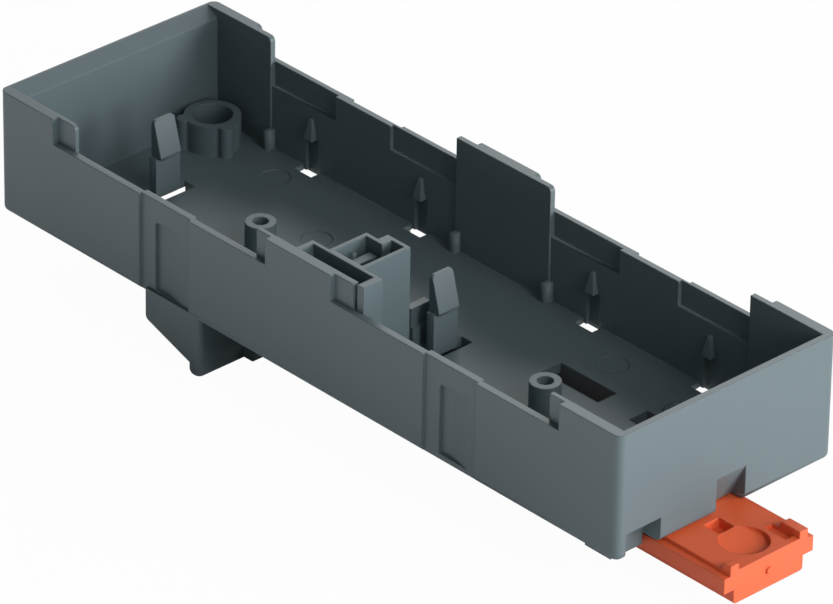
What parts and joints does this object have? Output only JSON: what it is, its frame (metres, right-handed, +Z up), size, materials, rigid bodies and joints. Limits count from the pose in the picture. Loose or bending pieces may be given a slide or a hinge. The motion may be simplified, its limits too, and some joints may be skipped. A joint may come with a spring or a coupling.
{
  "type": "rail-mounted electronics housing base",
  "caption": "Open tray-shaped housing base for a circuit board, with a fixed foot and a sprung sliding catch for a 35 mm mounting rail.",
  "frame": {"origin": "bottom centre of the bounding box, level with the lowest faces of the foot and the catch", "axes": "+X along the tray towards the catch's pull, +Y across the tray towards the wall with the board clips, +Z up out of the tray's open top"},
  "size_m": [0.1186, 0.035, 0.0244],
  "materials": {
    "grey_plastic": "fine matt texture outside, smoother inside",
    "orange_plastic": "smooth, slightly soft"
  },
  "bodies": {
    "base": {"housing_base": "grey_plastic"},
    "catch": {"rail_catch": "orange_plastic"}
  },
  "joints": [
    {"name": "catch_slide", "type": "slide", "parent": "base", "child": "catch", "axis": [1, 0, 0], "range_m": [0, 0.004], "stiffness_N_per_m": 1500, "springref_m": -0.001}
  ]
}
